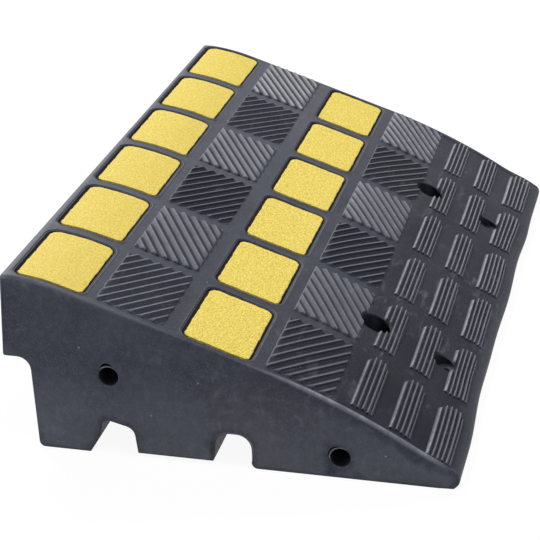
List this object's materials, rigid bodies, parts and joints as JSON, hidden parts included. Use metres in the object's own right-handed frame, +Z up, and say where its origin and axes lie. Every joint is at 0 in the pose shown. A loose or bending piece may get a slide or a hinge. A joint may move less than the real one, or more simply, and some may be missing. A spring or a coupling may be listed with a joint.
{
  "type": "kerb ramp",
  "caption": "Black moulded rubber kerb ramp with a crowned slope, yellow reflective panels, ribbed tread pads, ridged lugs near the toe, anchor holes and drainage channels underneath.",
  "frame": {"origin": "on the ground under the middle of the ramp's bounding box", "axes": "+X down the slope from the kerb lip to the toe, +Y along the kerb, +Z up"},
  "size_m": [0.3599, 0.6, 0.1498],
  "materials": {
    "black_rubber": "matte moulded rubber with light scuffs",
    "yellow_panel": "yellow sheet with fine glass-bead grain"
  },
  "bodies": {
    "root": {"rubber_body": "black_rubber", "panel_kerb_1": "yellow_panel", "panel_kerb_2": "yellow_panel", "panel_kerb_3": "yellow_panel", "panel_kerb_4": "yellow_panel", "panel_kerb_5": "yellow_panel", "panel_kerb_6": "yellow_panel", "panel_slope_1": "yellow_panel", "panel_slope_2": "yellow_panel", "panel_slope_3": "yellow_panel", "panel_slope_4": "yellow_panel", "panel_slope_5": "yellow_panel", "panel_slope_6": "yellow_panel"}
  },
  "joints": []
}
